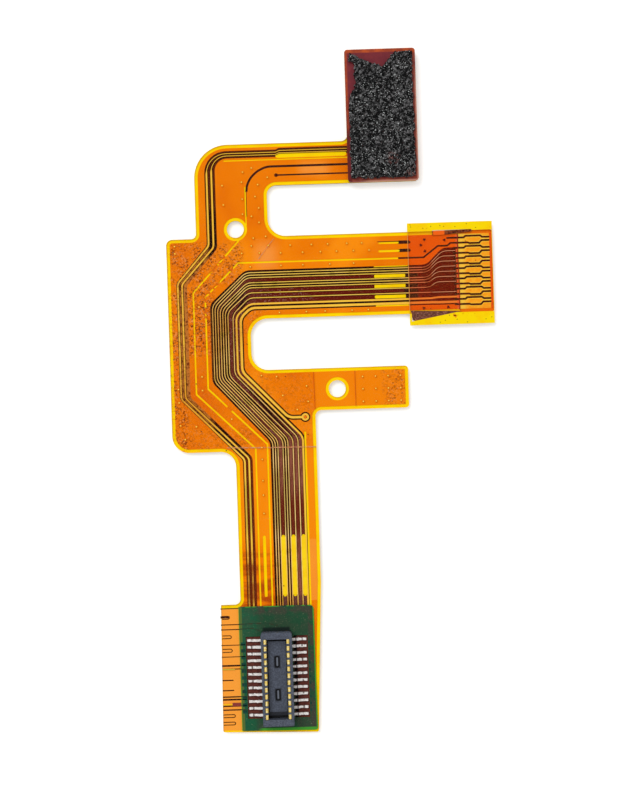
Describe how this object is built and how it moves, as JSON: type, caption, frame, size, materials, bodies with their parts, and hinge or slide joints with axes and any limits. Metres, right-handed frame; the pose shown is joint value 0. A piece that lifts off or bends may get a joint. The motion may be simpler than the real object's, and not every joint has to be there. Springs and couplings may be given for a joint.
{
  "type": "flat flex cable",
  "caption": "Flat flexible printed cable with a board-to-board connector, a taped hot-bar tail, a foam-faced stiffener arm and a fixing tab, positioned by two round holes.",
  "frame": {"origin": "on the axis of the first locating hole, at the laminate's underside", "axes": "+X along the two arms and the tab, towards the hot-bar tail; +Y along the stem, away from the board connector; +Z out of the component side"},
  "size_m": [0.0192, 0.0401, 0.0012],
  "materials": {
    "film": "bright yellow polyimide film, glossy",
    "bottom_cover": "amber cover film over the bottom copper",
    "top_cover": "almost clear amber cover film with fine scratches",
    "bottom_copper": "dark red-brown copper seen through the film",
    "ground_copper": "orange copper under the cover film",
    "signal_copper": "pale copper tracks under the cover film",
    "supply_copper": "golden copper tracks under the cover film",
    "pad_copper": "gold plated pads",
    "lands": "tinned lands",
    "mask": "green solder resist, satin, mottled brown",
    "housing": "slate moulded plastic",
    "gold": "gold plated contacts",
    "solder": "bright solder",
    "steel": "thin steel backing plate",
    "tape": "see-through amber tape",
    "liner": "scrap of release liner",
    "scrap": "dark scrap of film",
    "plate": "maroon stiffener board with a coppery border",
    "foam": "black open foam, torn",
    "adhesive": "amber adhesive film"
  },
  "bodies": {
    "root": {"base_film": "film", "bottom_cover_film": "bottom_cover", "top_cover_film": "top_cover", "bottom_copper": "bottom_copper", "top_ground": "ground_copper", "signal_tracks": "signal_copper", "supply_tracks": "supply_copper", "sensor_tracks": "supply_copper", "tail_pads": "pad_copper", "connector_lands": "lands", "plating_stubs": "ground_copper", "solder_mask": "mask", "connector_housing": "housing", "contacts_left": "gold", "contacts_right": "gold", "solder_joints": "solder", "connector_stiffener": "steel", "tail_tape": "tape", "trapped_liner": "liner", "trapped_strip": "scrap", "arm_stiffener": "plate", "foam_pad": "foam", "body_adhesive": "adhesive", "tab_adhesive": "adhesive"}
  },
  "joints": []
}
